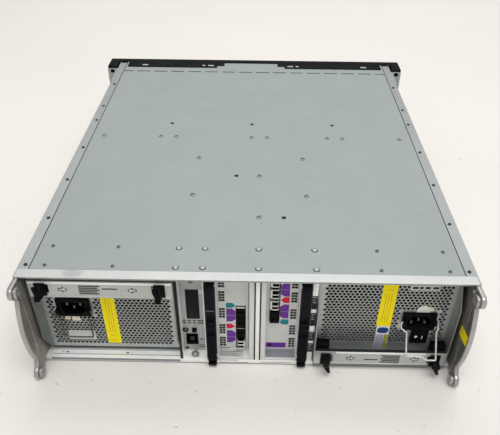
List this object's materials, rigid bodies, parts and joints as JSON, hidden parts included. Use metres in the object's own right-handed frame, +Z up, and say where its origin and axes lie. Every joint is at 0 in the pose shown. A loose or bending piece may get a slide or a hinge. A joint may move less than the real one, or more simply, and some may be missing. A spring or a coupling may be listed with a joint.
{
  "type": "rack disk shelf enclosure",
  "caption": "Low rack shelf for disk drives: sheet-metal chassis with a lidded top, side wings, pull-out power and link modules at the rear, rack ears and a pull-off front bezel.",
  "frame": {"origin": "middle of the underside of the chassis floor", "axes": "+X to the right seen from the rear, +Y from the rear to the front bezel, +Z up"},
  "size_m": [0.482, 0.5623, 0.1335],
  "materials": {
    "shell_steel": "satin zinc-plated sheet",
    "cover_steel": "matte zinc-plated sheet",
    "bright_zinc": "bright plated sheet",
    "cast_zinc": "satin cast metal",
    "fastener_steel": "dull plated",
    "rivet_metal": "bright",
    "psu_steel": "satin zinc-plated sheet",
    "bar_steel": "satin",
    "module_face": "satin",
    "black_plastic": "moulded, fine texture",
    "lever_plastic": "moulded",
    "display_black": "gloss",
    "wire_steel": "drawn wire",
    "circuit_board": "solder mask",
    "carrier_plastic": "moulded",
    "drive_metal": "cast",
    "bezel_plastic": "moulded, fine texture"
  },
  "bodies": {
    "chassis": {"chassis_shell": "shell_steel", "top_cover": "cover_steel", "rear_top_rail": "bright_zinc", "rear_sill": "bright_zinc", "bay_divider_plates": "bright_zinc", "bay_post_centre": "bright_zinc", "bay_post_right": "bright_zinc", "rear_wing_left": "cast_zinc", "rear_wing_right": "cast_zinc", "rack_ear_left": "shell_steel", "rack_ear_right": "shell_steel", "midplane_board": "circuit_board", "disk_guides": "carrier_plastic", "disk_carriers": "carrier_plastic", "disk_drives": "drive_metal", "disk_latches": "carrier_plastic", "flange_screws": "fastener_steel", "cover_screws": "fastener_steel", "cover_rivets": "rivet_metal", "id_panel": "module_face", "id_display": "display_black", "id_jack": "black_plastic"},
    "id_button": {"id_button": "black_plastic"},
    "psu_left": {"psu_left_housing": "psu_steel", "psu_left_grille": "psu_steel", "psu_left_pull_bar": "bar_steel", "psu_left_power_entry": "black_plastic", "psu_left_fan_frame": "black_plastic", "psu_left_power_board": "circuit_board"},
    "psu_left_tab_outer": {"psu_left_tab_outer": "black_plastic"},
    "psu_left_tab_inner": {"psu_left_tab_inner": "black_plastic"},
    "psu_left_rocker": {"psu_left_rocker": "black_plastic"},
    "psu_left_bail": {"psu_left_bail": "wire_steel"},
    "psu_left_fan_rotor": {"psu_left_fan_rotor": "black_plastic"},
    "psu_right": {"psu_right_housing": "psu_steel", "psu_right_grille": "psu_steel", "psu_right_pull_bar": "bar_steel", "psu_right_power_entry": "black_plastic", "psu_right_fan_frame": "black_plastic", "psu_right_power_board": "circuit_board"},
    "psu_right_tab_outer": {"psu_right_tab_outer": "black_plastic"},
    "psu_right_tab_inner": {"psu_right_tab_inner": "black_plastic"},
    "psu_right_rocker": {"psu_right_rocker": "black_plastic"},
    "psu_right_bail": {"psu_right_bail": "wire_steel"},
    "psu_right_fan_rotor": {"psu_right_fan_rotor": "black_plastic"},
    "lcc_left": {"lcc_left_tray": "module_face", "lcc_left_ports": "black_plastic", "lcc_left_board": "circuit_board"},
    "lcc_left_lever_upper": {"lcc_left_lever_upper": "lever_plastic"},
    "lcc_left_lever_lower": {"lcc_left_lever_lower": "lever_plastic"},
    "lcc_right": {"lcc_right_tray": "module_face", "lcc_right_ports": "black_plastic", "lcc_right_board": "circuit_board"},
    "lcc_right_lever_upper": {"lcc_right_lever_upper": "lever_plastic"},
    "lcc_right_lever_lower": {"lcc_right_lever_lower": "lever_plastic"},
    "bezel": {"bezel_shell": "bezel_plastic", "bezel_grille": "bezel_plastic"},
    "bezel_lock": {"bezel_lock": "wire_steel"},
    "bezel_latch_left": {"bezel_latch_left": "bezel_plastic"},
    "bezel_latch_right": {"bezel_latch_right": "bezel_plastic"}
  },
  "joints": [
    {"name": "id_button_press", "type": "slide", "parent": "chassis", "child": "id_button", "axis": [0, 1, 0], "range_m": [0, 0.0015], "stiffness_N_per_m": 300},
    {"name": "psu_left_slide", "type": "slide", "parent": "chassis", "child": "psu_left", "axis": [0, -1, 0], "range_m": [0, 0.25]},
    {"name": "psu_left_tab_outer_squeeze", "type": "slide", "parent": "psu_left", "child": "psu_left_tab_outer", "axis": [1, 0, 0], "range_m": [0, 0.004], "stiffness_N_per_m": 300},
    {"name": "psu_left_tab_inner_squeeze", "type": "slide", "parent": "psu_left", "child": "psu_left_tab_inner", "axis": [-1, 0, 0], "range_m": [0, 0.004], "stiffness_N_per_m": 300},
    {"name": "psu_left_bail_swing", "type": "hinge", "parent": "psu_left", "child": "psu_left_bail", "pos_m": [-0.1801, -0.2473, 0.07], "axis": [-1, 0, 0], "range_deg": [0, 150]},
    {"name": "psu_left_rocker_switch", "type": "hinge", "parent": "psu_left", "child": "psu_left_rocker", "pos_m": [-0.184, -0.2433, 0.094], "axis": [0, 0, -1], "range_deg": [0, 16]},
    {"name": "psu_left_fan_spin", "type": "hinge", "parent": "psu_left", "child": "psu_left_fan_rotor", "pos_m": [-0.1201, -0.2281, 0.058], "axis": [0, 1, 0], "continuous": true},
    {"name": "psu_right_slide", "type": "slide", "parent": "chassis", "child": "psu_right", "axis": [0, -1, 0], "range_m": [0, 0.25]},
    {"name": "psu_right_tab_outer_squeeze", "type": "slide", "parent": "psu_right", "child": "psu_right_tab_outer", "axis": [-1, 0, 0], "range_m": [0, 0.004], "stiffness_N_per_m": 300},
    {"name": "psu_right_tab_inner_squeeze", "type": "slide", "parent": "psu_right", "child": "psu_right_tab_inner", "axis": [1, 0, 0], "range_m": [0, 0.004], "stiffness_N_per_m": 300},
    {"name": "psu_right_bail_swing", "type": "hinge", "parent": "psu_right", "child": "psu_right_bail", "pos_m": [0.1801, -0.2473, 0.062], "axis": [-1, 0, 0], "range_deg": [0, 150]},
    {"name": "psu_right_rocker_switch", "type": "hinge", "parent": "psu_right", "child": "psu_right_rocker", "pos_m": [0.184, -0.2433, 0.038], "axis": [0, 0, 1], "range_deg": [0, 16]},
    {"name": "psu_right_fan_spin", "type": "hinge", "parent": "psu_right", "child": "psu_right_fan_rotor", "pos_m": [0.1201, -0.2281, 0.074], "axis": [0, 1, 0], "continuous": true},
    {"name": "lcc_left_slide", "type": "slide", "parent": "chassis", "child": "lcc_left", "axis": [0, -1, 0], "range_m": [0, 0.22]},
    {"name": "lcc_left_lever_upper_swing", "type": "hinge", "parent": "lcc_left", "child": "lcc_left_lever_upper", "pos_m": [-0.03635, -0.2545, 0.118], "axis": [-1, 0, 0], "range_deg": [0, 75]},
    {"name": "lcc_left_lever_lower_swing", "type": "hinge", "parent": "lcc_left", "child": "lcc_left_lever_lower", "pos_m": [-0.03635, -0.2545, 0.014], "axis": [1, 0, 0], "range_deg": [0, 75]},
    {"name": "lcc_right_slide", "type": "slide", "parent": "chassis", "child": "lcc_right", "axis": [0, -1, 0], "range_m": [0, 0.22]},
    {"name": "lcc_right_lever_upper_swing", "type": "hinge", "parent": "lcc_right", "child": "lcc_right_lever_upper", "pos_m": [0.05905, -0.2545, 0.118], "axis": [-1, 0, 0], "range_deg": [0, 75]},
    {"name": "lcc_right_lever_lower_swing", "type": "hinge", "parent": "lcc_right", "child": "lcc_right_lever_lower", "pos_m": [0.05905, -0.2545, 0.014], "axis": [1, 0, 0], "range_deg": [0, 75]},
    {"name": "bezel_pull_off", "type": "slide", "parent": "chassis", "child": "bezel", "axis": [0, 1, 0], "range_m": [0, 0.06]},
    {"name": "bezel_lock_turn", "type": "hinge", "parent": "bezel", "child": "bezel_lock", "pos_m": [0, 0.2773, 0.1255], "axis": [0, 1, 0], "range_deg": [0, 90]},
    {"name": "bezel_latch_left_press", "type": "slide", "parent": "bezel", "child": "bezel_latch_left", "axis": [1, 0, 0], "range_m": [0, 0.003], "stiffness_N_per_m": 300},
    {"name": "bezel_latch_right_press", "type": "slide", "parent": "bezel", "child": "bezel_latch_right", "axis": [-1, 0, 0], "range_m": [0, 0.003], "stiffness_N_per_m": 300}
  ]
}
